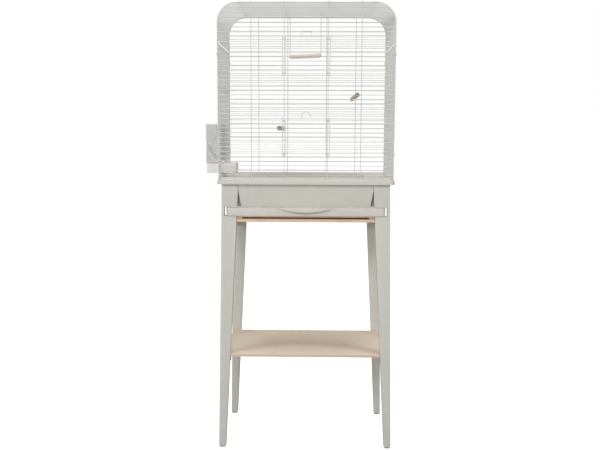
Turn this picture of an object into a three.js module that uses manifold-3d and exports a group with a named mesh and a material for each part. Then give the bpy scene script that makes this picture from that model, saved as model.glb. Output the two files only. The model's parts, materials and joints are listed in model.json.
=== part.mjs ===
// Small-bird cage on a four-legged stand, built from its separate pieces.
// Millimetres, +Z up, the front faces -Y, +X to the right seen from the front.
// The finished group stands with the middle of its footprint box on the origin.

import * as THREE from 'three';
import { mergeVertices } from 'three/addons/utils/BufferGeometryUtils.js';
import Module from 'manifold-3d';

const wasm = await Module();
wasm.setup();

// ---------------------------------------------------------------- driving sizes

// Cage
const cageWidth = 436; // over the upright side bars
const cageDepth = 268; // over the front and back frames
const cageHeight = 436; // from the top of the base flange to the tips of the uprights
const cornerRadius = 50; // outside of the rounded top corners
const wire = 1.8; // square section that stands for every cage wire
const barPitch = 11.6; // centre to centre, front rows and side bars alike
const tipRise = 2.5; // how far uprights stand past the top frame wire
const firstRowRise = 12.6; // bottom frame wire to the first row above it
const outerUpright = 135; // x of the stiffening uprights beside the doors
const shoulderRise = 337; // base flange to the joint between side and top panels
const shoulderGap = 5; // between those two panels
const sideStiffenerRises = [34, 134, 233]; // heights of the side panels' cross wires
const cornerSteps = 4; // flats in one rounded wire corner
const topRowSpace = 2; // least space over the top row
const topTie = 56; // x of the inner pair of wires that tie the arches
const lowClipRow = 4; // row above which the lower corner clips sit
const highClipDrop = 2; // rows from the side panel's last row down to the upper clips
const clipWall = 1.2;
const clipHeight = 6;

// Sliding doors at the front
const doorRows = 8; // height in rows
const doorHalfBars = 5; // half width in bar pitches
const lowerDoorRow = 4; // row of its bottom wire
const upperDoorDrop = 6; // rows between the top row and the upper door
const eyeletHeight = 4;
const eyeletWall = 0.9;
const eyeletPlay = 0.4; // around the guide wire
const jambPlay = 1; // eyelet to the side of the opening
const pullWidth = 23;
const upperPullHeight = 13;
const upperPullTop = 0.75; // its top against its foot
const lowerPullHeight = 16;
const lowerPullTop = 0.5;

// Perches and swing
const perchRadius = 6;
const perchSlot = 2.6; // height of the slot that takes a wire
const perchOverhang = 3; // past the front and back rows
const leftPerchRow = 10;
const leftPerchPlay = 1.1; // to the doorway's side wire
const rightPerchRow = 17;
const rightPerchPlay = 3; // to the outer upright
const swingWidth = 80;
const swingDrop = 115.2; // top wire to the middle of the swing perch
const swingPerchRadius = 4.8;
const swingLean = 4; // how much lower its left end hangs
const swingX = -3.5; // it hangs a little left of the middle
const swingOverhang = 0.8; // perch past its wires
const hookDrop = 7; // top wire to the bend below the hook

// Seed feeder, outside the left panel with its trough reaching in
const feederBars = 7; // width of its opening in bar pitches
const feederReach = 37; // outside the panel
const feederHeight = 122; // trough's underside to the lid
const feederWall = 2;
const troughReach = 38; // inside the panel
const troughHeight = 25;
const lidThickness = 2.5;
const lidPinRadius = 1;
const lidLip = 2; // past the housing, for a finger
const lugWidth = 4; // the housing's hooks and hinge lugs
const sleeveWall = 1.1; // around the hinge pin
const hookBar = 2; // bars between a hook and the side of the opening
const feederPlay = 3; // trough to the opening, at its sides and top
const chuteFoot = 10; // housing's bottom edge to the chute's low end
const chuteRise = 34;
const chuteMouth = 12;
const bossRadius = 4.5;
const bossHeight = 3;
const bossRise = 62;

// Plastic base and drawer
const standHeight = 694; // floor to the top of the base flange
const flangeThickness = 9;
const flangeOverhang = 3; // past the side bars
const flangeFrontOverhang = 9; // past the front and back frames
const flangeCorner = 14;
const rimHeight = 8;
const rimThickness = 3;
const rimCorner = 6;
const skirtDepth = 56.5; // below the flange
const skirtWall = 3;
const skirtFrontSlope = 5; // how far its front leans in at the bottom
const skirtTaper = 10; // how far the front's upright edges leave the legs there
const skirtBend = 0.3; // share of its depth above that taper
const drawerHalfWidth = 199.5;
const drawerHeight = 20.2;
const drawerWall = 2.5;
const drawerCorner = 13;
const drawerProud = 2.5; // past the front of the legs
const drawerStop = 3; // back of the drawer to the back legs
const gripWidth = 146;
const gripBulge = 11;
const gripHeight = 10.5;
const gripSteps = 14; // flats along its bow
const drawerSeam = 2.5; // below the tub
const curveSteps = 8; // flats in one rounded plastic corner

// Stand
const legThickness = 20; // front to back
const legTopWidth = 41.5;
const legTopOuter = 210; // centre line to the outer edge at the top
const legFootWidth = 17.5;
const legFootOuter = 222.5; // centre line to the outer edge at the floor
const backLegTopOuter = 206; // the back pair stands closer together
const backLegFootOuter = 215.5;
const legInset = 2.5; // front of the legs behind the front of the cage
const glideHeight = 3;
const glideInset = 2;
const boardThickness = 6.8;
const deckThickness = 3.6; // the thin panel that the drawer slides on
const runnerWidth = 13;
const runnerHeight = 4.2;
const runnerSetBack = 3; // behind the front of the legs
const railThickness = 12;
const sideRailOuter = 207;
const sideRailHeight = 42;
const backRailHeight = 23;
const shelfTop = 250; // floor to the top of the lower shelf
const shelfThickness = 7.5;
const shelfHalfWidth = 208; // behind the front legs
const bracketLeaf = 16;
const bracketWidth = 14;
const bracketThickness = 1.5;
const bracketSetIn = 3; // from the shelf's end

// Fits
const gap = 0.3; // between pieces that touch
const weld = 0.3; // how far welded wires sink into each other
const hair = 0.2; // keeps the faces of joined wires out of one plane
const slide = 0.5; // around sliding and turning pieces
const drawerPlay = 4.5; // each side of the drawer in the legs' notches
const drawerLift = 1; // above and below it there
const past = 1; // how far a cutter reaches past what it cuts

// ---------------------------------------------------------------- derived places

const halfWidth = cageWidth / 2;
const halfDepth = cageDepth / 2;
const cageTop = standHeight + cageHeight;
const frameTop = cageTop - tipRise;
const gridFoot = standHeight + gap;
const firstRow = gridFoot + wire / 2 + firstRowRise;
const rowSpan = frameTop - wire - topRowSpace - firstRow;
const rowCount = Math.floor(rowSpan / barPitch) + 1;
const upperDoorRow = rowCount - 1 - upperDoorDrop - doorRows;
const sideBars = Math.floor((halfDepth - wire * 3) / barPitch);
const sideEnd = sideBars * barPitch + wire / 2;
const sideTop = standHeight + shoulderRise;
const archFoot = sideTop + shoulderGap;
const lastSideRow = Math.floor((sideTop - firstRow) / barPitch);
const clipRows = [lowClipRow, lastSideRow - highClipDrop];
const crossOut = halfWidth + gap + wire; // outer face of the panels' cross wires
const doorOpening = doorHalfBars * barPitch; // centre line to an opening's side wire
const eyeletHalf = wire / 2 + eyeletPlay + eyeletWall;
const guideOffset = doorOpening - wire / 2 - jambPlay - eyeletHalf; // guide from the door's middle
const rowLayer = halfDepth - wire * 2 + weld; // inner face of the front and back rows
const frontGuide = rowLayer + wire + slide + eyeletHalf; // plane of the front doors
const doorHeight = doorRows * barPitch;
const flangeBottom = standHeight - flangeThickness;
const skirtBottom = flangeBottom - skirtDepth;
const legTop = flangeBottom - gap;
const legFront = halfDepth - legInset;
const legBack = legFront - legThickness;
const drawerTop = skirtBottom - drawerSeam;
const drawerBottom = drawerTop - drawerHeight;
const drawerFront = -legFront - drawerProud;
const drawerBack = legBack - drawerStop;
const deckTop = drawerBottom - gap;
const deckBottom = deckTop - deckThickness;
const runnerTop = deckBottom - gap;
const boardTop = runnerTop - runnerHeight - gap;
const troughFloor = gridFoot + firstRowRise + wire + gap * 2;
const troughTop = troughFloor + troughHeight;
const housingFoot = troughTop + slide;
const housingTop = troughFloor + feederHeight;

function rowHeight(row) {
  return firstRow + barPitch * row;
}

const frontPair = { top: legTopOuter, foot: legFootOuter };
const backPair = { top: backLegTopOuter, foot: backLegFootOuter };

function legInner(z, pair) {
  const down = (legTop - z) / (legTop - glideHeight);
  return THREE.MathUtils.lerp(pair.top - legTopWidth, pair.foot - legFootWidth, down);
}

// ---------------------------------------------------------------- materials

const finishes = {
  whitePaint: { color: 0xc6c7c1, roughness: 0.5, metalness: 0 },
  whitePlastic: { color: 0xd2d1cb, roughness: 0.42, metalness: 0 },
  whiteWire: { color: 0xd8d9d6, roughness: 0.35, metalness: 0.1 },
  birch: { color: 0xcdbeae, roughness: 0.6, metalness: 0 },
  dowelWood: { color: 0xcec5b4, roughness: 0.65, metalness: 0 },
  clearPlastic: { color: 0xb9b8be, roughness: 0.15, metalness: 0, transparent: true, opacity: 0.45 },
  greyRubber: { color: 0x8f8f8c, roughness: 0.8, metalness: 0 },
  zincSteel: { color: 0xb4b6b8, roughness: 0.35, metalness: 0.9 },
};

// ---------------------------------------------------------------- solids

function solidOf(geometry) {
  const bare = geometry.clone();
  bare.deleteAttribute('normal');
  bare.deleteAttribute('uv');
  const merged = mergeVertices(bare, 1e-4);
  const vertProperties = Float32Array.from(merged.attributes.position.array);
  const triVerts = Uint32Array.from(merged.index.array);
  return new wasm.Manifold(new wasm.Mesh({ numProp: 3, vertProperties, triVerts }));
}

function geometryOf(solid) {
  const { vertProperties, triVerts } = solid.getMesh();
  const geometry = new THREE.BufferGeometry();
  geometry.setAttribute('position', new THREE.BufferAttribute(vertProperties, 3));
  geometry.setIndex(new THREE.BufferAttribute(triVerts, 1));
  geometry.computeVertexNormals();
  return geometry;
}

function join(solids) {
  return solids.reduce((whole, solid) => whole.add(solid));
}

// A block between two values on each axis, given in either order.
function block(xs, ys, zs) {
  const size = [xs, ys, zs].map(([a, b]) => Math.abs(b - a));
  const middle = [xs, ys, zs].map(([a, b]) => (a + b) / 2);
  return solidOf(new THREE.BoxGeometry(...size).translate(...middle));
}

function around(middle, width) {
  return [middle - width / 2, middle + width / 2];
}

function polygon(points) {
  return new THREE.Shape(points.map(([u, v]) => new THREE.Vector2(u, v)));
}

function extrusion(shape, length, steps = cornerSteps) {
  const settings = { depth: length, bevelEnabled: false, curveSegments: steps };
  return new THREE.ExtrudeGeometry(shape, settings);
}

function alongZ(shape, [low, high], steps) {
  return solidOf(extrusion(shape, high - low, steps).translate(0, 0, low));
}

// The shape's u, v become x, z.
function alongY(shape, limits, steps) {
  const [low, high] = [Math.min(...limits), Math.max(...limits)];
  return solidOf(extrusion(shape, high - low, steps).rotateX(Math.PI / 2).translate(0, high, 0));
}

function rodY(radius, [low, high], x, z, sides = 12) {
  const rod = new THREE.CylinderGeometry(radius, radius, high - low, sides);
  return solidOf(rod.translate(x, (low + high) / 2, z));
}

// A body through outlines with the same number of corners, given as [outline, height].
function loft(levels) {
  const count = levels[0][0].length;
  const positions = levels.flatMap(([outline, z]) => outline.flatMap(([x, y]) => [x, y, z]));
  const lid = (levels.length - 1) * count;
  const flat = levels[0][0].map(([x, y]) => new THREE.Vector2(x, y));
  const index = [];
  for (const [a, b, c] of THREE.ShapeUtils.triangulateShape(flat, [])) {
    index.push(a, c, b);
    index.push(a + lid, b + lid, c + lid);
  }
  for (let floor = 0; floor < lid; floor += count) {
    for (let i = 0; i < count; i += 1) {
      const here = floor + i;
      const next = floor + ((i + 1) % count);
      index.push(here, next, next + count);
      index.push(here, next + count, here + count);
    }
  }
  const geometry = new THREE.BufferGeometry();
  geometry.setAttribute('position', new THREE.Float32BufferAttribute(positions, 3));
  geometry.setIndex(index);
  return solidOf(geometry);
}

function rectangle(xs, ys) {
  const [left, right] = [Math.min(...xs), Math.max(...xs)];
  const [front, back] = [Math.min(...ys), Math.max(...ys)];
  return [[left, front], [right, front], [right, back], [left, back]];
}

function roundedRectangle(halfX, front, back, radius) {
  const shape = new THREE.Shape();
  shape.absarc(halfX - radius, back - radius, radius, 0, Math.PI / 2);
  shape.absarc(-halfX + radius, back - radius, radius, Math.PI / 2, Math.PI);
  shape.absarc(-halfX + radius, front + radius, radius, Math.PI, Math.PI * 1.5);
  shape.absarc(halfX - radius, front + radius, radius, Math.PI * 1.5, Math.PI * 2);
  return shape;
}

// ---------------------------------------------------------------- pieces

const object = new THREE.Group();

function place(name, solid, finish, parent = object) {
  const mesh = new THREE.Mesh(geometryOf(solid), new THREE.MeshStandardMaterial(finish));
  mesh.name = name;
  parent.add(mesh);
  return mesh;
}

// ---------------------------------------------------------------- wire panels

const minus = (values) => values.map((value) => -value);

// Each face of the cage is drawn with u along it, v outward and z up.
const front = {
  block: (us, vs, zs) => block(us, minus(vs), zs),
  extrude: (shape, vs) => alongY(shape, minus(vs)),
};
const back = { block, extrude: alongY };
const right = { block: (us, vs, zs) => block(vs, us, zs) };
const left = { block: (us, vs, zs) => block(minus(vs), us, zs) };

// Traces the cage's arched outline from right to left, set in by a margin.
function traceArch(path, margin, foot) {
  const centreX = halfWidth - cornerRadius;
  const centreZ = frameTop - cornerRadius;
  path.moveTo(halfWidth - margin, foot);
  path.lineTo(halfWidth - margin, centreZ);
  path.absarc(centreX, centreZ, cornerRadius - margin, 0, Math.PI / 2);
  path.absarc(-centreX, centreZ, cornerRadius - margin, Math.PI / 2, Math.PI);
  path.lineTo(margin - halfWidth, foot);
  return path;
}

// Half the length of a row: it ends on the middle of the frame wire.
function rowReach(z) {
  const over = Math.max(z - (frameTop - cornerRadius), 0);
  return halfWidth - cornerRadius + Math.sqrt((cornerRadius - wire / 2) ** 2 - over ** 2);
}

function endRows(face, doorways) {
  const wires = [];
  for (let row = 0; row < rowCount; row += 1) {
    const z = rowHeight(row);
    const reach = rowReach(z);
    const cut = doorways.some((low) => row > low && row < low + doorRows);
    const spans = cut ? [[-reach, -doorOpening], [doorOpening, reach]] : [[-reach, reach]];
    for (const us of spans) {
      wires.push(face.block(us, [rowLayer, rowLayer + wire], around(z, wire)));
    }
  }
  return wires;
}

// Two wires in front of the panel for the doors' eyelets, bent back at both ends.
function guides() {
  const wires = [];
  const seat = [halfDepth - wire / 2, frontGuide];
  for (const side of [-1, 1]) {
    const bend = around(side * guideOffset, wire - hair * 2);
    const upright = around(side * guideOffset, wire);
    wires.push(front.block(upright, around(frontGuide, wire), [gridFoot, cageTop]));
    wires.push(front.block(bend, seat, [gridFoot + hair, gridFoot + wire - hair]));
    wires.push(front.block(bend, seat, [frameTop - wire + hair, frameTop - hair]));
  }
  return wires;
}

function jambs(face, doorways) {
  const layer = [rowLayer + wire - weld, rowLayer + wire * 2 - weld];
  const wires = [];
  for (const low of doorways) {
    const ends = [rowHeight(low) - wire, rowHeight(low + doorRows) + wire];
    for (const side of [-1, 1]) {
      wires.push(face.block(around(side * doorOpening, wire), layer, ends));
    }
  }
  return wires;
}

// One arched end of the cage: frame, rows, uprights and doorways.
function endPanel(face, doorways, inner) {
  const frame = traceArch(new THREE.Shape(), 0, gridFoot);
  frame.holes.push(traceArch(new THREE.Path(), wire, gridFoot + wire));
  const frameLayer = [halfDepth - wire, halfDepth];
  const uprightLayer = [rowLayer + wire + gap, rowLayer + wire * 2 + gap];
  const wires = [face.extrude(frame, frameLayer), ...endRows(face, doorways), ...jambs(face, doorways)];
  for (const u of [-outerUpright, outerUpright, ...inner]) {
    wires.push(face.block(around(u, wire), uprightLayer, [gridFoot + hair, cageTop]));
  }
  return wires;
}

function frontPanel() {
  return join([...endPanel(front, [lowerDoorRow, upperDoorRow], []), ...guides()]);
}

function backPanel() {
  return join(endPanel(back, [], [-guideOffset, guideOffset]));
}

// A wire across the outside of the side bars, welded to the bars at its two ends.
function crossWire(face, [from, to], z) {
  const stand = halfWidth + gap;
  const wires = [face.block([from, to], [stand, crossOut], around(z, wire))];
  const seat = [halfWidth - wire / 2, stand + wire / 2];
  wires.push(face.block([from, from + wire], seat, around(z, wire)));
  wires.push(face.block([to - wire, to], seat, around(z, wire)));
  return wires;
}

// A wire welded to every side bar that it crosses.
function weldedWire(face, us, zs) {
  return face.block(us, [halfWidth - weld, crossOut], zs);
}

// One straight side of the cage; an opening lies between two bars and two heights.
function sidePanel(face, opening) {
  const wires = [];
  const inOpening = (i) => opening && i > opening.first && i < opening.last;
  for (let i = -sideBars; i <= sideBars; i += 1) {
    const spans = inOpening(i) ? [[gridFoot, opening.low], [opening.high, sideTop]] : [[gridFoot, sideTop]];
    for (const zs of spans) {
      wires.push(face.block(around(i * barPitch, wire), [halfWidth - wire, halfWidth], zs));
    }
  }
  const ends = [-sideEnd, sideEnd];
  wires.push(weldedWire(face, ends, [gridFoot, gridFoot + wire]));
  wires.push(weldedWire(face, ends, [sideTop - wire, sideTop]));
  for (const rise of sideStiffenerRises) {
    const z = standHeight + rise;
    const crosses = opening && z > opening.low - wire && z < opening.high + wire;
    const spans = crosses ? [[-sideEnd, opening.front], [opening.back, sideEnd]] : [ends];
    spans.forEach((us) => wires.push(...crossWire(face, us, z)));
  }
  if (opening) {
    const mouth = [opening.first * barPitch - wire / 2, opening.last * barPitch + wire / 2];
    wires.push(weldedWire(face, mouth, [opening.low - wire, opening.low]));
    wires.push(weldedWire(face, mouth, [opening.high, opening.high + wire]));
  }
  return wires;
}

const feederDoorway = {
  first: -feederBars,
  last: 0,
  front: -feederBars * barPitch + wire / 2,
  back: -wire / 2,
  low: rowHeight(0) + wire / 2,
  high: troughTop + feederPlay,
};

// The rounded top: arches across the cage, tied by wires that run front to back.
function topPanel() {
  const shape = traceArch(new THREE.Shape(), 0, archFoot);
  const inside = traceArch(new THREE.Path(), wire, archFoot).getPoints(cornerSteps).reverse();
  inside.forEach((point) => shape.lineTo(point.x, point.y));
  const wires = [];
  for (let i = -sideBars; i <= sideBars; i += 1) {
    wires.push(alongY(shape, around(i * barPitch, wire)));
  }
  for (const face of [left, right]) {
    wires.push(weldedWire(face, [-sideEnd, sideEnd], [archFoot, archFoot + wire]));
  }
  const tangent = halfWidth - cornerRadius;
  for (const x of [-tangent, -topTie, topTie, tangent]) {
    const xs = around(x, wire);
    wires.push(block(xs, [-sideEnd, sideEnd], [frameTop + gap, frameTop + gap + wire]));
    for (const end of [-1, 1]) {
      const seat = [end * (sideEnd - wire), end * sideEnd];
      wires.push(block(xs, seat, [frameTop - wire / 2, frameTop + wire]));
    }
  }
  return join(wires);
}

// A spring clip around the frame's side wire and the side panel's last bar.
function cornerClip(sideX, sideY, row) {
  const xs = [halfWidth - wire - gap, halfWidth + gap];
  const ys = [sideEnd - wire - gap, halfDepth + gap];
  const z = rowHeight(row) + barPitch / 2;
  const grow = ([low, high]) => [low - clipWall, high + clipWall];
  const signed = (values, sign) => values.map((value) => value * sign);
  const outer = block(signed(grow(xs), sideX), signed(grow(ys), sideY), around(z, clipHeight));
  const bore = block(signed(xs, sideX), signed(ys, sideY), around(z, clipHeight + past * 2));
  const slitXs = [xs[0] - clipWall * 2, xs[0] + wire];
  const slit = block(signed(slitXs, sideX), signed(around((ys[0] + ys[1]) / 2, clipWall), sideY),
    around(z, clipHeight + past * 2));
  return outer.subtract(bore).subtract(slit);
}

place('front_grille', frontPanel(), finishes.whiteWire);
place('back_grille', backPanel(), finishes.whiteWire);
place('left_grille', join(sidePanel(left, feederDoorway)), finishes.whiteWire);
place('right_grille', join(sidePanel(right)), finishes.whiteWire);
place('top_grille', topPanel(), finishes.whiteWire);
const corners = [
  ['front_left', -1, -1],
  ['front_right', 1, -1],
  ['back_left', -1, 1],
  ['back_right', 1, 1],
];
for (const [corner, sideX, sideY] of corners) {
  clipRows.forEach((row, level) => {
    const name = `panel_clip_${corner}_${level + 1}`;
    place(name, cornerClip(sideX, sideY, row), finishes.whitePlastic);
  });
}

// ---------------------------------------------------------------- sliding doors

// A loop of wire standing on the door's top wire, narrower at its top.
function pullShape(foot, height, topShare) {
  const wide = pullWidth / 2;
  const narrow = wide * topShare;
  const shape = polygon([[-wide, foot], [wide, foot], [narrow, foot + height], [-narrow, foot + height]]);
  const slope = (wide - narrow) / height;
  const low = foot + wire;
  const high = foot + height - wire;
  const inside = (z) => wide - wire - slope * (z - foot);
  const hole = [[-inside(low), low], [inside(low), low], [inside(high), high], [-inside(high), high]];
  shape.holes.push(new THREE.Path(hole.map(([u, z]) => new THREE.Vector2(u, z))));
  return shape;
}

// A door has a wire for each row and runs on the guides with four eyelets.
function slidingDoor(low, pullHeight, topShare) {
  const side = guideOffset - eyeletHalf + weld - wire / 2;
  const layer = around(frontGuide, wire);
  const ends = [low - wire / 2, low + doorHeight + wire / 2];
  const eyelets = [low + barPitch / 2, low + doorHeight - barPitch / 2];
  const wires = [];
  for (let row = 0; row <= doorRows; row += 1) {
    wires.push(front.block([-side, side], layer, around(low + barPitch * row, wire)));
  }
  for (const hand of [-1, 1]) {
    wires.push(front.block(around(hand * side, wire), layer, ends));
    for (const z of eyelets) {
      const us = (width) => around(hand * guideOffset, width);
      const vs = (width) => around(frontGuide, width);
      const bore = (eyeletHalf - eyeletWall) * 2;
      const ring = front.block(us(eyeletHalf * 2), vs(eyeletHalf * 2), around(z, eyeletHeight));
      const hole = front.block(us(bore), vs(bore), around(z, eyeletHeight + past * 2));
      wires.push(ring.subtract(hole));
    }
  }
  wires.push(front.extrude(pullShape(ends[1] - wire, pullHeight, topShare), layer));
  return join(wires);
}

const upperDoor = slidingDoor(rowHeight(upperDoorRow), upperPullHeight, upperPullTop);
const lowerDoor = slidingDoor(rowHeight(lowerDoorRow), lowerPullHeight, lowerPullTop);
place('upper_front_door', upperDoor, finishes.whiteWire);
place('lower_front_door', lowerDoor, finishes.whiteWire);

// ---------------------------------------------------------------- perches and swing

function slottedPerch(x, row) {
  const z = rowHeight(row);
  const end = rowLayer + wire + perchOverhang;
  const depth = end - rowLayer + slide;
  const dowel = rodY(perchRadius, [-end, end], x, z);
  const slots = [-1, 1].map((side) => {
    const ys = [side * (end - depth), side * (end + past)];
    return block(around(x, perchRadius * 3), ys, around(z, perchSlot));
  });
  return slots.reduce((perch, slot) => perch.subtract(slot), dowel);
}

const leftPerchX = -(doorOpening + wire / 2 + leftPerchPlay + perchRadius);
const rightPerchX = outerUpright - wire / 2 - rightPerchPlay - perchRadius;
place('perch_left', slottedPerch(leftPerchX, leftPerchRow), finishes.dowelWood);
place('perch_right', slottedPerch(rightPerchX, rightPerchRow), finishes.dowelWood);

// The swing hangs on the middle arch, which crosses the cage at y = 0.
const archMiddle = frameTop - wire / 2;
const hookClear = wire / 2 + slide;
const swingLeft = archMiddle - swingDrop - swingLean / 2;
const swingRight = archMiddle - swingDrop + swingLean / 2;
const hookTop = archMiddle + hookClear;
const wireAhead = [-hookClear - wire, -hookClear];

function swingHanger() {
  const half = swingWidth / 2;
  const under = swingPerchRadius + gap + wire;
  const outline = [
    [-half - wire / 2, swingLeft - under],
    [half + wire / 2, swingRight - under],
    [half + wire / 2, archMiddle - hookDrop],
    [half - wire / 2, archMiddle - hookDrop],
    [half - wire / 2, swingRight - under + wire],
    [-half + wire / 2, swingLeft - under + wire],
    [-half + wire / 2, archMiddle - hookDrop],
    [-half - wire / 2, archMiddle - hookDrop],
  ];
  const parts = [alongY(polygon(outline), around(0, wire))];
  for (const side of [-1, 1]) {
    const xs = around(side * half, wire);
    const foot = archMiddle - hookDrop - wire;
    parts.push(block(xs, wireAhead, [foot, hookTop + wire]));
    parts.push(block(xs, [wireAhead[0], wire / 2], [foot, foot + wire]));
    parts.push(block(xs, [wireAhead[0], hookClear + wire], [hookTop, hookTop + wire]));
    parts.push(block(xs, [hookClear, hookClear + wire], [archMiddle - wire * 2, hookTop + wire]));
  }
  return join(parts).translate([swingX, 0, 0]);
}

function swingPerch() {
  const length = swingWidth + wire + swingOverhang * 2;
  const slotDepth = wire + swingOverhang + slide;
  const dowel = rodY(swingPerchRadius, [-length / 2, length / 2], 0, 0);
  const slots = [-1, 1].map((side) => {
    const ys = [side * (length / 2 - slotDepth), side * (length / 2 + past)];
    return block(around(0, perchSlot), ys, around(0, swingPerchRadius * 3));
  });
  return slots.reduce((perch, slot) => perch.subtract(slot), dowel);
}

place('swing_hanger', swingHanger(), finishes.whiteWire);
const perch = place('swing_perch', swingPerch(), finishes.dowelWood);
perch.rotation.set(0, -Math.atan2(swingLean, swingWidth), -Math.PI / 2);
perch.position.set(swingX, 0, archMiddle - swingDrop);

// ---------------------------------------------------------------- seed feeder

const feederYs = [-feederBars * barPitch + wire / 2, -wire / 2];
const troughYs = [feederYs[0] + feederPlay, feederYs[1] - feederPlay];
const housingIn = -(crossOut + gap);
const housingOut = -(halfWidth + feederReach);
const hinge = { x: housingIn - lidPinRadius * 2, z: housingTop + lidPinRadius * 3 };
const lugHole = lidPinRadius + gap;
const sleeveRadius = lugHole + sleeveWall;

// A box with thin walls, open at the top.
function hollow(xs, ys, zs, wall, openBelow) {
  const inside = (limits) => [Math.min(...limits) + wall, Math.max(...limits) - wall];
  const zLow = Math.min(...zs) + (openBelow ? -past : wall);
  const zHigh = Math.max(...zs) + past;
  return block(xs, ys, zs).subtract(block(inside(xs), inside(ys), [zLow, zHigh]));
}

// The clear hopper: open below, hooked over the middle cross wire, with a chute inside.
function feederHousing() {
  const xs = [housingOut, housingIn];
  const walls = hollow(xs, feederYs, [housingFoot, housingTop], feederWall, true);
  const outside = housingOut + feederWall / 2;
  const low = housingFoot + chuteFoot;
  const inside = housingIn - feederWall - chuteMouth;
  const chute = polygon([
    [outside, low + chuteRise],
    [outside, low + chuteRise + feederWall],
    [inside, low + feederWall],
    [inside, low],
  ]);
  const parts = [walls, alongY(chute, [feederYs[0] + feederWall / 2, feederYs[1] - feederWall / 2])];
  const lugXs = [housingIn - sleeveRadius * 2, housingIn];
  const lugZs = [housingTop - weld, hinge.z + sleeveRadius];
  for (const ys of [[feederYs[0], feederYs[0] + lugWidth], [feederYs[1] - lugWidth, feederYs[1]]]) {
    parts.push(block(lugXs, ys, lugZs));
  }
  const wireTop = standHeight + sideStiffenerRises[1] + wire / 2 + gap;
  for (const bar of [-hookBar, hookBar - 1 - feederBars]) {
    const ys = around((bar + 0.5) * barPitch, lugWidth);
    const hookEnd = -(halfWidth - wire - feederWall);
    parts.push(block([housingIn - weld, hookEnd], ys, [wireTop, wireTop + feederWall]));
    parts.push(block([hookEnd, hookEnd + feederWall], ys, [wireTop - wire * 2, wireTop + feederWall]));
  }
  const boss = rodY(bossRadius, [feederYs[0] - bossHeight, feederYs[0] + weld], (housingIn + housingOut) / 2,
    housingFoot + bossRise);
  const holes = rodY(lugHole, [feederYs[0] - past, feederYs[1] + past], hinge.x, hinge.z);
  return join([...parts, boss]).subtract(holes);
}

function feederLid() {
  const ys = [feederYs[0] + lugWidth + slide, feederYs[1] - lugWidth - slide];
  const zs = [housingTop + gap, housingTop + gap + lidThickness];
  const plate = block([housingOut - lidLip, hinge.x], ys, zs);
  const sleeve = rodY(sleeveRadius, ys, hinge.x, hinge.z);
  const wings = block([housingOut - lidLip, hinge.x - sleeveRadius * 1.5], feederYs, zs);
  const bore = rodY(lugHole, [feederYs[0] - past, feederYs[1] + past], hinge.x, hinge.z);
  return join([plate, sleeve, wings]).subtract(bore);
}

// The white trough slides through the opening, half outside and half inside the cage.
function feederTrough() {
  const xs = [housingOut + feederWall / 2, -(halfWidth - troughReach)];
  return hollow(xs, troughYs, [troughFloor, troughTop], feederWall, false);
}

place('feeder_housing', feederHousing(), finishes.clearPlastic);
place('feeder_lid', feederLid(), finishes.clearPlastic);
place('feeder_trough', feederTrough(), finishes.whitePlastic);
const pinYs = [feederYs[0] + slide, feederYs[1] - slide];
place('feeder_lid_pin', rodY(lidPinRadius, pinYs, hinge.x, hinge.z), finishes.zincSteel);

// ---------------------------------------------------------------- base and drawer

// The tub's outline steps in around the four legs and narrows to empty into the drawer.
function skirtOutline(z, inset) {
  const down = (flangeBottom - z) / skirtDepth;
  const narrowed = (top, bottom) => THREE.MathUtils.lerp(top, bottom, down) - inset;
  const taper = skirtTaper * Math.max(down - skirtBend, 0) / (1 - skirtBend);
  const frontX = legInner(z, frontPair) - gap * 2 - taper - inset;
  const backX = legInner(z, backPair) - gap * 2 - inset;
  const behindLegs = narrowed(legBack - gap, drawerBack);
  const sideX = narrowed(sideRailOuter, drawerHalfWidth);
  const frontY = -narrowed(legFront, legFront - skirtFrontSlope);
  const backY = narrowed(legFront, drawerBack + gap);
  const half = [
    [frontX, frontY],
    [frontX, -behindLegs],
    [sideX, -behindLegs],
    [sideX, behindLegs],
    [backX, behindLegs],
    [backX, backY],
  ];
  return [...half, ...half.map(([x, y]) => [-x, y]).reverse()];
}

function skirtBody(inset, [low, high]) {
  const outlineAt = (z, height = z) => [skirtOutline(z, inset), height];
  return loft([
    outlineAt(skirtBottom, low),
    outlineAt(flangeBottom - skirtDepth * skirtBend),
    outlineAt(flangeBottom, high),
  ]);
}

function baseSkirt() {
  const flangeX = halfWidth + flangeOverhang;
  const flangeY = halfDepth + flangeFrontOverhang;
  const plate = roundedRectangle(flangeX, -flangeY, flangeY, flangeCorner);
  const flange = alongZ(plate, [flangeBottom, standHeight], curveSteps);
  const tub = skirtBody(0, [skirtBottom, flangeBottom + weld]);
  const cavity = skirtBody(skirtWall, [skirtBottom - past, standHeight + past]);
  const rimX = halfWidth - wire - gap * 4;
  const rimY = rowLayer - gap * 4;
  const rimOutline = roundedRectangle(rimX, -rimY, rimY, rimCorner);
  const outer = alongZ(rimOutline, [standHeight - weld, standHeight + rimHeight]);
  const bore = block(
    [rimThickness - rimX, rimX - rimThickness],
    [rimThickness - rimY, rimY - rimThickness],
    [standHeight, standHeight + rimHeight + past],
  );
  return join([flange, tub, outer.subtract(bore)]).subtract(cavity).subtract(bore);
}

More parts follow.
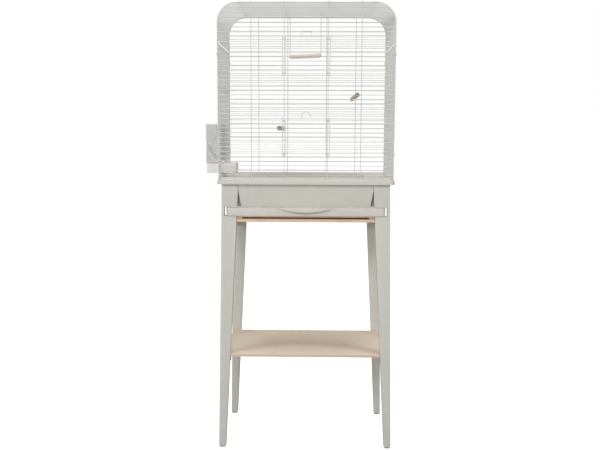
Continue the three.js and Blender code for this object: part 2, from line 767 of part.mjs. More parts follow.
// The bow-shaped grip under the drawer's top edge, hollow from below for the fingers.
function drawerGrip(front, top) {
  const half = gripWidth / 2;
  const arc = (rise) => {
    const radius = (half ** 2 + rise ** 2) / (2 * rise);
    return { radius, angle: Math.asin(half / radius) };
  };
  const bow = (bulge) => {
    const { radius, angle } = arc(bulge);
    const shape = new THREE.Shape();
    shape.moveTo(half, front + drawerWall);
    shape.lineTo(half, front);
    shape.absarc(0, front - bulge + radius, radius, -Math.PI / 2 + angle, -Math.PI / 2 - angle, true);
    shape.lineTo(-half, front + drawerWall);
    return shape;
  };
  const smile = new THREE.Shape();
  const { radius, angle } = arc(gripHeight);
  smile.absarc(0, top - gripHeight + radius, radius, -Math.PI / 2 - angle, -Math.PI / 2 + angle);
  const lens = alongY(smile, [front - gripBulge * 2, front + past], gripSteps);
  const hood = alongZ(bow(gripBulge), [top - gripHeight, top], gripSteps).intersect(lens);
  const under = [top - gripHeight - past, top - drawerWall];
  const fingers = alongZ(bow(gripBulge - drawerWall), under, gripSteps);
  const frontWall = block([-half, half], [front, front + drawerWall * 2], [top - gripHeight * 2, top]);
  return hood.subtract(fingers.subtract(frontWall));
}

function drawerTray() {
  const zs = [drawerBottom, drawerTop];
  const outline = roundedRectangle(drawerHalfWidth, drawerFront, drawerBack, drawerCorner);
  const [innerFront, innerBack] = [drawerFront + drawerWall, drawerBack - drawerWall];
  const innerHalf = drawerHalfWidth - drawerWall;
  const inner = roundedRectangle(innerHalf, innerFront, innerBack, drawerCorner - drawerWall);
  const cavity = alongZ(inner, [drawerBottom + drawerWall, drawerTop + past], curveSteps);
  return alongZ(outline, zs, curveSteps).subtract(cavity).add(drawerGrip(drawerFront, drawerTop));
}

place('base_skirt', baseSkirt(), finishes.whitePlastic);
place('drawer', drawerTray(), finishes.whitePlastic);

// ---------------------------------------------------------------- stand

const pairOf = (sideY) => (sideY < 0 ? frontPair : backPair);

function leg(sideX, sideY) {
  const pair = pairOf(sideY);
  const ys = [sideY * legFront, sideY * legBack];
  const foot = rectangle([sideX * pair.foot, sideX * (pair.foot - legFootWidth)], ys);
  const top = rectangle([sideX * pair.top, sideX * (pair.top - legTopWidth)], ys);
  const post = loft([[foot, glideHeight], [top, legTop]]);
  if (sideY > 0) {
    return post;
  }
  const notchXs = [sideX * (pair.top - legTopWidth - past), sideX * (drawerHalfWidth + drawerPlay)];
  const notchYs = [sideY * (legFront + past), sideY * (legBack - past)];
  const notch = block(notchXs, notchYs, [drawerBottom - drawerLift, drawerTop + drawerLift]);
  return post.subtract(notch);
}

function glide(sideX, sideY) {
  const { foot } = pairOf(sideY);
  const xs = [sideX * (foot - glideInset), sideX * (foot - legFootWidth + glideInset)];
  const ys = [sideY * (legFront - glideInset), sideY * (legBack + glideInset)];
  return block(xs, ys, [0, glideHeight - gap]);
}

// An angle bracket below a board: one leaf under it and one on the upright face.
function bracket(sideX, xMiddle, sideY, faceY, boardZ) {
  const xs = around(sideX * xMiddle, bracketWidth);
  const near = sideY * (faceY - gap);
  const top = boardZ - gap;
  const under = block(xs, [near, near - sideY * bracketLeaf], [top - bracketThickness, top]);
  const upright = block(xs, [near, near - sideY * bracketThickness], [top - bracketLeaf, top]);
  return under.add(upright);
}

for (const [corner, sideX, sideY] of corners) {
  place(`leg_${corner}`, leg(sideX, sideY), finishes.whitePaint);
  place(`foot_glide_${corner}`, glide(sideX, sideY), finishes.greyRubber);
  const bracketX = shelfHalfWidth - bracketWidth / 2 - bracketSetIn;
  const shelfBracket = bracket(sideX, bracketX, sideY, legBack, shelfTop - shelfThickness);
  place(`shelf_bracket_${corner}`, shelfBracket, finishes.zincSteel);
}

const railYs = [gap - legBack, legBack - gap];
const railInner = sideRailOuter - railThickness;
const railZs = [boardTop - sideRailHeight, boardTop];
const runnerYs = [runnerSetBack - legFront, railYs[1]];
const runnerOuter = legInner(deckTop, frontPair) - gap * 2;
for (const [hand, side] of [['left', -1], ['right', 1]]) {
  const railXs = [side * sideRailOuter, side * railInner];
  place(`side_rail_${hand}`, block(railXs, railYs, railZs), finishes.whitePaint);
  const runnerXs = [side * runnerOuter, side * (runnerOuter - runnerWidth)];
  const runner = block(runnerXs, runnerYs, [runnerTop - runnerHeight, runnerTop]);
  place(`drawer_runner_${hand}`, runner, finishes.birch);
}

place('drawer_deck', block([-runnerOuter, runnerOuter], runnerYs, [deckBottom, deckTop]), finishes.birch);

// A board that fills the frame between the legs, with a tongue out between the front ones.
function tonguedBoard(halfX, top, thickness) {
  const zs = [top - thickness, top];
  const tongue = legInner(top, frontPair) - gap * 2;
  return block([-halfX, halfX], railYs, zs).add(block([-tongue, tongue], [-legFront, 0], zs));
}

place('top_board', tonguedBoard(railInner - gap, boardTop, boardThickness), finishes.birch);
place('lower_shelf', tonguedBoard(shelfHalfWidth, shelfTop, shelfThickness), finishes.birch);

const backRailTop = boardTop - boardThickness - gap;
const backRailHalf = legInner(backRailTop, backPair) - gap;
const backRailYs = around((legFront + legBack) / 2, railThickness);
const backRailZs = [backRailTop - backRailHeight, backRailTop];
place('back_rail', block([-backRailHalf, backRailHalf], backRailYs, backRailZs), finishes.whitePaint);

// ---------------------------------------------------------------- origin

const cage = new THREE.Group();
cage.add(object);
const footprint = new THREE.Box3().setFromObject(cage);
const middle = footprint.getCenter(new THREE.Vector3());
object.position.set(-middle.x, -middle.y, -footprint.min.z);

export default cage;
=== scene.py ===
"""A small-bird cage on a four-legged stand, dressed for a close look.

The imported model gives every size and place. This script lays round wires where the square
ones stand, rounds the edges of the moulded and the wooden pieces, and paints everything.
Lengths are metres, +Z is up and the front faces -Y.
"""

import json
import math

import bmesh
import bpy
from mathutils import Matrix, Vector


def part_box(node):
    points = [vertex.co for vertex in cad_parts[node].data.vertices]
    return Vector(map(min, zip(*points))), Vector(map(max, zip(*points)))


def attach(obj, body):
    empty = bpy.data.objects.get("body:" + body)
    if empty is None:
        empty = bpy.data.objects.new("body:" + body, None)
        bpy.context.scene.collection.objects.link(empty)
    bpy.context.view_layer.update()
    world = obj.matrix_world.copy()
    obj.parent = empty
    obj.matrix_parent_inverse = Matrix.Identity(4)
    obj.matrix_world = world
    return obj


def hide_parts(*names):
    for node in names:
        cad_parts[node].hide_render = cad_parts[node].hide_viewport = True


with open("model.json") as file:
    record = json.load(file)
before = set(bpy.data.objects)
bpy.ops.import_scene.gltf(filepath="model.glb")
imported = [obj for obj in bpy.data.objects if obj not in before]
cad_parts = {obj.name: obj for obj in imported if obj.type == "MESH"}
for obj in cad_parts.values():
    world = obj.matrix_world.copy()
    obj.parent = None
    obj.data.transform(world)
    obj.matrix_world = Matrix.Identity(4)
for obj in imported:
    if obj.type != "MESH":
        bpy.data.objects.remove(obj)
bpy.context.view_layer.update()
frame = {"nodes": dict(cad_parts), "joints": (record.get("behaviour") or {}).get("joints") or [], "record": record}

# ------------------------------------------------------------------ sizes

MM = 0.001
QUARTER = math.pi / 2
ROW_PITCH = 11.6 * MM
ROW_WIRE = 1.7 * MM
FRAME_WIRE = 2.3 * MM
UPRIGHT_WIRE = 1.9 * MM
DOOR_WIRE = 1.6 * MM
CORNER_RADIUS = 50 * MM
TIP_RISE = 2.5 * MM
WIRE_SIDES = 10
FINE_SIDES = 8
CORNER_STEPS = 14
BEAD_RADIUS = 1.15 * MM
THICK_BEAD_RADIUS = UPRIGHT_WIRE / 2 + 0.15 * MM

ROOT = "cage_and_stand"
HANDS = (-1, 1)


def slot_of(cad_node):
    """The record's material slot of a CAD node."""
    parts = frame["record"]["subparts"]
    return next(part["material_slot"] for part in parts if part["node"] == cad_node)


def span(cad_node, axis):
    """A node's lowest and highest coordinate along one axis."""
    low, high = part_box(cad_node)
    return low[axis], high[axis]


def middle(limits):
    return (limits[0] + limits[1]) / 2


# ------------------------------------------------------------------ node helpers


def new_group(name, kind, inputs, outputs):
    """A node group whose sockets are given as (name, kind, value), and what its inputs give."""
    tree = bpy.data.node_groups.new(name, kind + "NodeTree")
    for direction, sockets in (("INPUT", inputs), ("OUTPUT", outputs)):
        for socket_name, socket_kind, value in sockets:
            made = tree.interface.new_socket(name=socket_name, in_out=direction,
                                             socket_type="NodeSocket" + socket_kind)
            if value is not None:
                made.default_value = value
    return tree, tree.nodes.new("NodeGroupInput").outputs


def feed(tree, value, target):
    """Links an output to an input, or sets the input's own value."""
    if isinstance(value, bpy.types.NodeSocket):
        tree.links.new(value, target)
    else:
        target.default_value = value


def node(tree, kind, settings=None, **values):
    """Adds a node. Values go to its inputs by name, with _ for a space. A socket is linked."""
    made = tree.nodes.new(kind)
    for name, value in (settings or {}).items():
        setattr(made, name, value)
    for name, value in values.items():
        feed(tree, value, made.inputs[name.replace("_", " ")])
    return made


def maths(tree, operation, first, second=0.0):
    made = tree.nodes.new("ShaderNodeMath")
    made.operation = operation
    feed(tree, first, made.inputs[0])
    feed(tree, second, made.inputs[1])
    return made.outputs[0]


def blended(tree, factor, first, second):
    """Mixes two colours by a factor."""
    made = tree.nodes.new("ShaderNodeMix")
    made.data_type = "RGBA"
    feed(tree, factor, made.inputs["Factor"])
    colours = [s for s in made.inputs if s.type == "RGBA"]
    feed(tree, first, colours[0])
    feed(tree, second, colours[1])
    return next(s for s in made.outputs if s.type == "RGBA")


def remapped(tree, value, low, high, to_low=0.0, to_high=1.0):
    """Stretches the range from low to high over another one, and clamps what lies outside."""
    made = tree.nodes.new("ShaderNodeMapRange")
    for index, source in enumerate((value, low, high, to_low, to_high)):
        feed(tree, source, made.inputs[index])
    return made.outputs[0]


def noise(tree, place, scale, detail):
    made = node(tree, "ShaderNodeTexNoise", Vector=place, Scale=scale, Detail=detail)
    return made.outputs[0]


# ------------------------------------------------------------------ shared effects

SURFACE = (("Color", "Color", None), ("Roughness", "Float", None), ("Height", "Float", None))
PATCH_SHARE = 0.65
GRAIN_SHARE = 0.35
# Pointiness ranges: standing edges that get the edge colour (a painted highlight on the coatings) and hollows that
# get painted shade.
EDGE_RANGE = (0.505, 0.56)
HOLLOW_RANGE = (0.495, 0.44)
SHEEN_AND_WEAR_SCALE = 60.0
WOBBLE_STRETCH = (4.0, 11.0, 11.0)
WOBBLE_DEPTH = 0.05
LAYER_SLOPE = 1.6
FIGURE_SHARPNESS = 5.0
PATCH_STRETCH = (7.0, 5.0, 5.0)
RINGS_PER_FIGURE = 7.0
RING_SHARPNESS = 3.0
FIBRE_STRETCH = (14.0, 520.0, 520.0)
FIBRE_RANGE = (0.3, 0.7)
FIBRE_SHARE = 0.28
PORE_STRETCH = (70.0, 1500.0, 1500.0)
PORE_RANGE = (0.62, 0.72)
PORE_SHARE = 0.12
PORE_DEPTH = 0.8
FACING_RANGE = (0.6, 0.95)
END_GRAIN = 0.85
WOOD_ROUGHNESS = (0.5, 0.68)


def speckle_group():
    """Fine mottling of a sprayed or moulded surface: colour, roughness and height."""
    tree, given = new_group("sprayed_surface", "Shader", (
        ("Color", "Color", (0.6, 0.6, 0.6, 1)),
        ("Shade", "Color", (0.5, 0.5, 0.5, 1)),
        ("Patch Scale", "Float", 12.0),
        ("Grain Scale", "Float", 900.0),
        ("Roughness", "Float", 0.45),
        ("Spread", "Float", 0.08),
    ), SURFACE)
    place = node(tree, "ShaderNodeTexCoord").outputs["Object"]
    grain = noise(tree, place, given["Grain Scale"], 2.0)
    patch_mask = remapped(tree, noise(tree, place, given["Patch Scale"], 3.0), 0.35, 0.7)
    grain_mask = remapped(tree, grain, 0.35, 0.65, 0.0, GRAIN_SHARE)
    mask = maths(tree, "ADD", maths(tree, "MULTIPLY", patch_mask, PATCH_SHARE), grain_mask)
    swing = maths(tree, "MULTIPLY", maths(tree, "SUBTRACT", patch_mask, 0.5), given["Spread"])
    node(tree, "NodeGroupOutput", Color=blended(tree, mask, given["Color"], given["Shade"]),
         Roughness=maths(tree, "ADD", given["Roughness"], swing), Height=grain)
    return tree


def wear_sheen_and_shade_group():
    """Edges and hollows: the edge colour where they stand out, a painted highlight on the pale coatings and
    handling wear on wood, and painted shade in a dust tone where they sink in.
    """
    tree, given = new_group("edge_wear", "Shader", (
        ("Color", "Color", (0.6, 0.6, 0.6, 1)),
        ("Rubbed", "Color", (0.8, 0.8, 0.8, 1)),
        ("Dust", "Color", (0.4, 0.38, 0.35, 1)),
        ("Amount", "Float", 0.5),
    ), (("Color", "Color", None),))
    place = node(tree, "ShaderNodeTexCoord").outputs["Object"]
    broken = remapped(tree, noise(tree, place, SHEEN_AND_WEAR_SCALE, 4.0), 0.4, 0.65, 0.25, 1.0)
    point = node(tree, "ShaderNodeNewGeometry").outputs["Pointiness"]
    patchy = maths(tree, "MULTIPLY", remapped(tree, point, *EDGE_RANGE), broken)
    # Edge colour on the standing edges: a painted highlight on the pale coatings, handling wear on wood.
    sheen_and_wear = maths(tree, "MULTIPLY", patchy, given["Amount"])
    # Painted shade in the hollows, in a dust tone.
    dust_and_shade_mask = maths(tree, "MULTIPLY", remapped(tree, point, *HOLLOW_RANGE), given["Amount"])
    worn_with_painted_light = blended(tree, sheen_and_wear, given["Color"], given["Rubbed"])
    node(tree, "NodeGroupOutput", Color=blended(tree, dust_and_shade_mask, worn_with_painted_light, given["Dust"]))
    return tree


def grain_group():
    """Sawn wood: a broad arched figure, fine growth rings, fibres, pores and dark end grain."""
    tree, given = new_group("wood_grain", "Shader", (
        ("Light", "Color", (0.6, 0.5, 0.4, 1)),
        ("Dark", "Color", (0.4, 0.3, 0.2, 1)),
        ("Turn", "Vector", (0.0, 0.0, 0.0)),
        ("Offset", "Vector", (0.0, 0.0, 0.0)),
        ("Figure Width", "Float", 0.1),
        ("Arch", "Float", 3.0),
        ("Figure", "Float", 0.5),
        ("Rings", "Float", 0.3),
        ("Sawn Edge", "Float", 0.0),
    ), SURFACE)
    place = node(tree, "ShaderNodeTexCoord").outputs
    turned = node(tree, "ShaderNodeMapping", Vector=place["Object"], Location=given["Offset"],
                  Rotation=given["Turn"]).outputs[0]
    along = node(tree, "ShaderNodeSeparateXYZ", Vector=turned).outputs

    def streaks(scale, detail):
        stretched = node(tree, "ShaderNodeMapping", Vector=turned, Scale=scale)
        return noise(tree, stretched.outputs[0], 1.0, detail)

    def times(first, second):
        return maths(tree, "MULTIPLY", first, second)

    def plus(first, second):
        return maths(tree, "ADD", first, second)

    wobble = times(maths(tree, "SUBTRACT", streaks(WOBBLE_STRETCH, 3.0), 0.5), WOBBLE_DEPTH)
    bow = times(times(along["X"], along["X"]), given["Arch"])
    depth = plus(plus(plus(along["Y"], bow), times(along["Z"], LAYER_SLOPE)), wobble)
    turns = maths(tree, "DIVIDE", depth, given["Figure Width"])
    wave = maths(tree, "COSINE", times(turns, 2 * math.pi))
    broad = maths(tree, "POWER", remapped(tree, wave, -1.0, 1.0), FIGURE_SHARPNESS)
    patchy = remapped(tree, streaks(PATCH_STRETCH, 2.0), 0.35, 0.65, 0.35, 1.0)
    figure = times(times(broad, patchy), given["Figure"])
    fine = maths(tree, "FRACT", times(turns, RINGS_PER_FIGURE))
    rings = times(maths(tree, "POWER", fine, RING_SHARPNESS), given["Rings"])
    fibres = streaks(FIBRE_STRETCH, 4.0)
    pores = remapped(tree, streaks(PORE_STRETCH, 1.0), *PORE_RANGE)
    fibre_mask = times(remapped(tree, fibres, *FIBRE_RANGE), FIBRE_SHARE)
    mask = plus(plus(plus(figure, rings), fibre_mask), times(pores, PORE_SHARE))
    facing = node(tree, "ShaderNodeMapping", {"vector_type": "NORMAL"}, Vector=place["Normal"],
                  Rotation=given["Turn"])
    face = node(tree, "ShaderNodeSeparateXYZ", Vector=facing.outputs[0]).outputs
    end = remapped(tree, maths(tree, "ABSOLUTE", face["X"]), *FACING_RANGE, 0.0, END_GRAIN)
    edge = remapped(tree, maths(tree, "ABSOLUTE", face["Y"]), *FACING_RANGE)
    sawn = times(edge, given["Sawn Edge"])
    mask = maths(tree, "MAXIMUM", maths(tree, "MAXIMUM", mask, end), sawn)
    node(tree, "NodeGroupOutput", Color=blended(tree, mask, given["Light"], given["Dark"]),
         Roughness=remapped(tree, fibres, *FIBRE_RANGE, *WOOD_ROUGHNESS),
         Height=maths(tree, "SUBTRACT", fibres, times(pores, PORE_DEPTH)))
    return tree


SPRAYED = speckle_group()
WEAR_SHEEN_AND_SHADE = wear_sheen_and_shade_group()
GRAIN = grain_group()

# ------------------------------------------------------------------ materials

# The dust-grey tone of the painted shade laid in the hollows of the coatings.
DUST_AND_SHADE_TONE = (0.42, 0.40, 0.36, 1)
COATING_DEPTH = 0.3 * MM
GRAIN_DEPTH = 0.15 * MM
SCRATCH_DEPTH = 0.1 * MM
SCRATCH_STRETCH = (900.0, 900.0, 40.0)
HANDLED_SHARE = 0.72


def use(tree, group, **values):
    """Places a shader node group and sets its inputs by name."""
    return node(tree, "ShaderNodeGroup", {"node_tree": group}, **values).outputs


def shaded(name, **values):
    """A material with a Principled shader: the material, its tree and the shader."""
    made = bpy.data.materials.new(name)
    made.use_nodes = True
    shader = made.node_tree.nodes["Principled BSDF"]
    for socket_name, value in values.items():
        shader.inputs[socket_name.replace("_", " ")].default_value = value
    return made, made.node_tree, shader


def bumped(tree, shader, height, strength, distance):
    made = node(tree, "ShaderNodeBump", Height=height, Strength=strength, Distance=distance)
    feed(tree, made.outputs[0], shader.inputs["Normal"])


def coated(name, tones, patch, grain, roughness, bump, wear_and_painted_light, **values):
    """Paint, powder coat or moulded plastic. tones are its colour, its patch tone and its lighter edge tone, a
    painted highlight with some wear; its hollows get painted shade.
    """
    made, tree, shader = shaded(name, **values)
    colour, shade, sheen_and_wear = tones
    skin = use(tree, SPRAYED, Color=colour, Shade=shade, Patch_Scale=patch, Grain_Scale=grain,
               Roughness=roughness, Spread=0.1)
    # Painted highlight on the edges, with some wear, and painted shade in the hollows.
    worn_with_painted_light = use(tree, WEAR_SHEEN_AND_SHADE, Color=skin["Color"], Rubbed=sheen_and_wear, Dust=DUST_AND_SHADE_TONE, Amount=wear_and_painted_light)
    feed(tree, worn_with_painted_light["Color"], shader.inputs["Base Color"])
    feed(tree, skin["Roughness"], shader.inputs["Roughness"])
    bumped(tree, shader, skin["Height"], bump, COATING_DEPTH)
    return made


def wooden(name, tones, turn, offset, figure, rings, bump=0.25, sawn=0.0):
    """Lacquered wood, its grain along the turned X axis. figure is (width, arch, strength)."""
    light, dark = tones
    width, bow, strength = figure
    made, tree, shader = shaded(name, Coat_Weight=0.06, Coat_Roughness=0.4)
    wood = use(tree, GRAIN, Light=light, Dark=dark, Turn=turn, Offset=offset, Figure_Width=width,
               Arch=bow, Figure=strength, Rings=rings, Sawn_Edge=sawn)
    handled = tuple(channel * HANDLED_SHARE for channel in light[:3]) + (1,)
    # Darker handled edges, and painted shade in the hollows in the dark wood tone.
    worn_with_painted_light = use(tree, WEAR_SHEEN_AND_SHADE, Color=wood["Color"], Rubbed=handled, Dust=dark, Amount=0.5)
    feed(tree, worn_with_painted_light["Color"], shader.inputs["Base Color"])
    feed(tree, wood["Roughness"], shader.inputs["Roughness"])
    bumped(tree, shader, wood["Height"], bump, GRAIN_DEPTH)
    return made


def smoky_plastic():
    """Clear plastic with a grey tint and fine upright scratches."""
    made, tree, shader = shaded("smoky_clear_plastic", Alpha=0.38, IOR=1.3)
    skin = use(tree, SPRAYED, Color=(0.72, 0.715, 0.735, 1), Shade=(0.64, 0.635, 0.655, 1),
               Patch_Scale=25.0, Grain_Scale=300.0, Roughness=0.14, Spread=0.12)
    feed(tree, skin["Color"], shader.inputs["Base Color"])
    feed(tree, skin["Roughness"], shader.inputs["Roughness"])
    place = node(tree, "ShaderNodeTexCoord").outputs["Object"]
    streaks = node(tree, "ShaderNodeMapping", Vector=place, Scale=SCRATCH_STRETCH).outputs[0]
    bumped(tree, shader, noise(tree, streaks, 1.0, 2.0), 0.08, SCRATCH_DEPTH)
    return made


def greys(*values):
    return tuple((value, value, value, 1) for value in values)


# The coated tones below are colour, patch tone and a lighter edge tone that paints a highlight on the edges; the
# wood tones are light and dark.
WIRE_WHITE = ((0.73, 0.735, 0.715, 1), (0.675, 0.68, 0.66, 1), (0.80, 0.80, 0.78, 1))
LEG_WHITE = ((0.655, 0.652, 0.605, 1), (0.63, 0.63, 0.585, 1), (0.74, 0.74, 0.70, 1))
BASE_WHITE = ((0.70, 0.685, 0.635, 1), (0.665, 0.65, 0.60, 1), (0.76, 0.75, 0.71, 1))
TROUGH_WHITE = ((0.86, 0.86, 0.84, 1), (0.81, 0.81, 0.79, 1), (0.90, 0.90, 0.88, 1))
RUBBER_GREY = greys(0.20, 0.15, 0.26)
ZINC_GREY = greys(0.62, 0.50, 0.75)
BIRCH = ((0.98, 0.86, 0.72, 1), (0.70, 0.55, 0.40, 1))
PINE = ((0.92, 0.72, 0.525, 1), (0.44, 0.26, 0.12, 1))
RAW = ((0.92, 0.84, 0.73, 1), (0.24, 0.15, 0.10, 1))
LONGWAYS = (0.0, 0.0, 0.0)
SIDEWAYS = (0.0, 0.0, QUARTER)

wire_coat = coated("wire_powder_coat", WIRE_WHITE, patch=30.0, grain=1400.0, roughness=0.36,
                   bump=0.15, wear_and_painted_light=0.1)
leg_paint = coated("leg_paint", LEG_WHITE, patch=9.0, grain=420.0, roughness=0.48, bump=0.35,
                   wear_and_painted_light=0.5)
base_plastic = coated("moulded_base", BASE_WHITE, patch=7.0, grain=1100.0, roughness=0.42,
                      bump=0.25, wear_and_painted_light=0.4)
trough_plastic = coated("trough_plastic", TROUGH_WHITE, patch=18.0, grain=1000.0,
                        roughness=0.38, bump=0.2, wear_and_painted_light=0.3)
glide_rubber = coated("glide_rubber", RUBBER_GREY, patch=40.0, grain=900.0, roughness=0.75,
                      bump=0.5, wear_and_painted_light=0.5)
zinc = coated("zinc_plate", ZINC_GREY, patch=90.0, grain=700.0, roughness=0.34, bump=0.3,
              wear_and_painted_light=0.5, Metallic=1.0)
shelf_wood = wooden("shelf_wood", BIRCH, LONGWAYS, offset=(-0.017, 0.015, -0.25),
                    figure=(0.19, 2.6, 0.6), rings=0.08, sawn=0.95)
board_wood = wooden("board_wood", PINE, LONGWAYS, offset=(0.11, 0.05, 0.0),
                    figure=(0.12, 1.9, 0.45), rings=0.15)
runner_wood = wooden("runner_wood", PINE, SIDEWAYS, offset=(0.0, 0.13, 0.0),
                     figure=(0.10, 0.4, 0.4), rings=0.2)
perch_wood = wooden("perch_wood", RAW, SIDEWAYS, offset=(0.0, 0.02, 0.0),
                    figure=(0.05, 0.3, 0.2), rings=0.15, bump=0.4)
swing_wood = wooden("swing_wood", RAW, LONGWAYS, offset=(0.02, 0.0, 0.0),
                    figure=(0.04, 0.4, 0.2), rings=0.15, bump=0.4)
MATERIALS = {
    "white_wire": wire_coat,
    "white_plastic": base_plastic,
    "white_paint": leg_paint,
    "natural_wood": board_wood,
    "perch_wood": perch_wood,
    "clear_plastic": smoky_plastic(),
    "zinc_steel": zinc,
    "grey_rubber": glide_rubber,
}

# ------------------------------------------------------------------ geometry trees

GEOMETRY = ("Geometry", "Geometry", None)


def lay(tree, points, shape, material):
    """Puts a copy of the shape on each point, gives it the material and sends it out."""
    laid = node(tree, "GeometryNodeInstanceOnPoints", Points=points, Instance=shape)
    real = node(tree, "GeometryNodeRealizeInstances", Geometry=laid.outputs[0])
    painted = node(tree, "GeometryNodeSetMaterial", Geometry=real.outputs[0], Material=material)
    node(tree, "NodeGroupOutput", Geometry=painted.outputs[0])


def wire_array_tree():
    """Turns centre lines into round wires and repeats them at a spacing."""
    tree, given = new_group("wire_array", "Geometry", (
        GEOMETRY,
        ("Wire Diameter", "Float", ROW_WIRE),
        ("Sides", "Int", WIRE_SIDES),
        ("Count", "Int", 1),
        ("Spacing", "Vector", (0.0, 0.0, ROW_PITCH)),
        ("Material", "Material", None),
    ), (GEOMETRY,))
    line = node(tree, "GeometryNodeMeshToCurve", Mesh=given["Geometry"])
    radius = maths(tree, "DIVIDE", given["Wire Diameter"], 2.0)
    section = node(tree, "GeometryNodeCurvePrimitiveCircle", Resolution=given["Sides"],
                   Radius=radius)
    tube = node(tree, "GeometryNodeCurveToMesh", Curve=line.outputs[0],
                Profile_Curve=section.outputs[0], Fill_Caps=True)
    spots = node(tree, "GeometryNodeMeshLine", {"mode": "OFFSET"}, Count=given["Count"],
                 Offset=given["Spacing"])
    lay(tree, spots.outputs[0], tube.outputs[0], given["Material"])
    return tree


def weld_tree():
    """Puts a small bead where two wires are welded."""
    tree, given = new_group("weld_beads", "Geometry", (
        GEOMETRY,
        ("Bead Radius", "Float", BEAD_RADIUS),
        ("Material", "Material", None),
    ), (GEOMETRY,))
    points = node(tree, "GeometryNodeMeshToPoints", Mesh=given["Geometry"])
    bead = node(tree, "GeometryNodeMeshIcoSphere", Radius=given["Bead Radius"], Subdivisions=1)
    lay(tree, points.outputs[0], bead.outputs[0], given["Material"])
    return tree


WIRE_ARRAY = wire_array_tree()
WELD_BEADS = weld_tree()


def mesh_of(name, points, edges=(), faces=()):
    data = bpy.data.meshes.new(name)
    data.from_pydata([tuple(p) for p in points], edges, faces)
    return data


def mesh_from(shape, name):
    """Turns an edited shape into a mesh and lets the shape go."""
    data = bpy.data.meshes.new(name)
    shape.to_mesh(data)
    shape.free()
    return data


def placed(name, data):
    """A new object in the scene."""
    made = bpy.data.objects.new(name, data)
    bpy.context.scene.collection.objects.link(made)
    return made


def applied(holder):
    """An object's mesh with its modifiers applied. The object itself is removed."""
    bpy.context.view_layer.update()
    solved = holder.evaluated_get(bpy.context.evaluated_depsgraph_get())
    result = bpy.data.meshes.new_from_object(solved)
    bpy.data.objects.remove(holder)
    return result


def grown(data, tree, **values):
    """Runs a geometry tree on a mesh and gives back the result as a plain mesh."""
    holder = placed("holder", data)
    modifier = holder.modifiers.new("tree", "NODES")
    modifier.node_group = tree
    for item in tree.interface.items_tree:
        value = values.get(item.name.replace(" ", "_"))
        if item.in_out == "INPUT" and value is not None:
            modifier[item.identifier] = value
    return applied(holder)


def modified(data, *settings):
    """Applies modifiers, given as (type, values), to a mesh."""
    holder = placed("holder", data)
    for kind, values in settings:
        modifier = holder.modifiers.new(kind.lower(), kind)
        for name, value in values.items():
            setattr(modifier, name, value)
    return applied(holder)


def wires(paths, diameter, count=1, spacing=(0.0, 0.0, 0.0), sides=WIRE_SIDES):
    """Round wires along the paths, repeated count times at a spacing."""
    points = []
    edges = []
    for path in paths:
        first = len(points)
        points.extend(path)
        edges.extend((first + i, first + i + 1) for i in range(len(path) - 1))
    return grown(mesh_of("wire_lines", points, edges), WIRE_ARRAY, Wire_Diameter=diameter,
                 Sides=sides, Count=count, Spacing=tuple(spacing), Material=wire_coat)


def welds(points, radius=BEAD_RADIUS):
    return grown(mesh_of("weld_points", points), WELD_BEADS, Bead_Radius=radius,
                 Material=wire_coat)


# ------------------------------------------------------------------ pieces

MERGE_GAP = 0.005 * MM
FLAT_TURN = math.radians(0.5)
SHARP_TURN = math.radians(30)


def finish_piece(name, data, body, material, stands_for, smooth_angle=50):
    """Makes the mesh a piece that rides on a body and stands for CAD nodes."""
    data.materials.clear()
    data.materials.append(material)
    data.shade_smooth()
    data.set_sharp_from_angle(angle=math.radians(smooth_angle))
    piece = placed(name, data)
    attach(piece, body)
    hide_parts(*stands_for)


def wire_piece(name, parts, body, cad_node):
    """Joins lengths of wire and their beads into one piece."""
    whole = bmesh.new()
    for part in parts:
        whole.from_mesh(part)
        bpy.data.meshes.remove(part)
    finish_piece(name, mesh_from(whole, name), body, wire_coat, [cad_node])


def welded_copy(cad_node):
    """A CAD node's mesh with its shared corners merged and its flat faces whole."""
    shape = bmesh.new()
    shape.from_mesh(frame["nodes"][cad_node].data)
    bmesh.ops.remove_doubles(shape, verts=shape.verts, dist=MERGE_GAP)
    bmesh.ops.dissolve_limit(shape, angle_limit=FLAT_TURN, verts=shape.verts, edges=shape.edges)
    return mesh_from(shape, cad_node + "_rounded")


def bevel(radius, segments=3):
    return "BEVEL", {
        "width": radius,
        "segments": segments,
        "limit_method": "ANGLE",
        "angle_limit": SHARP_TURN,
        "use_clamp_overlap": True,
    }


def rounded(cad_node, radius, material=None, segments=3, body=ROOT):
    """A CAD node with its sharp edges rounded."""
    slot = slot_of(cad_node)
    data = modified(welded_copy(cad_node), bevel(radius, segments))
    finish = material or MATERIALS[slot]
    finish_piece(cad_node + "_rounded", data, body, finish, [cad_node], smooth_angle=40)


# ------------------------------------------------------------------ wire panels

LEFT, RIGHT = span("front_grille", 0)
FOOT, TIP = span("front_grille", 2)
CENTRE_X = (LEFT + RIGHT) / 2
HALF_WIDTH = (RIGHT - LEFT) / 2
CENTRE_Y = middle((span("front_grille", 1)[1], span("back_grille", 1)[0]))
FRAME_TOP = TIP - TIP_RISE
CAD_WIRE = 1.8 * MM
FIRST_ROW_RISE = 12.6 * MM
FIRST_ROW = FOOT + CAD_WIRE / 2 + FIRST_ROW_RISE
ROW_COUNT = 36
DOOR_ROWS = 8
LOWER_DOOR_ROW = 4
UPPER_DOOR_ROW = 21
DOORWAY_HALF = 5 * ROW_PITCH
DOOR_LEFT, DOOR_RIGHT = span("upper_front_door", 0)
GUIDE_INSET = 2.2 * MM
GUIDE_X = (DOOR_RIGHT - DOOR_LEFT) / 2 - GUIDE_INSET
OUTER_UPRIGHT = 135 * MM
FRAME_SINK = 0.3 * MM
UPRIGHT_SINK = 0.15 * MM
TIE_SINK = 0.1 * MM
TIP_INSET = 0.2 * MM
ROW_PLANE = abs(span("front_grille", 1)[1] - CENTRE_Y) + CAD_WIRE / 2
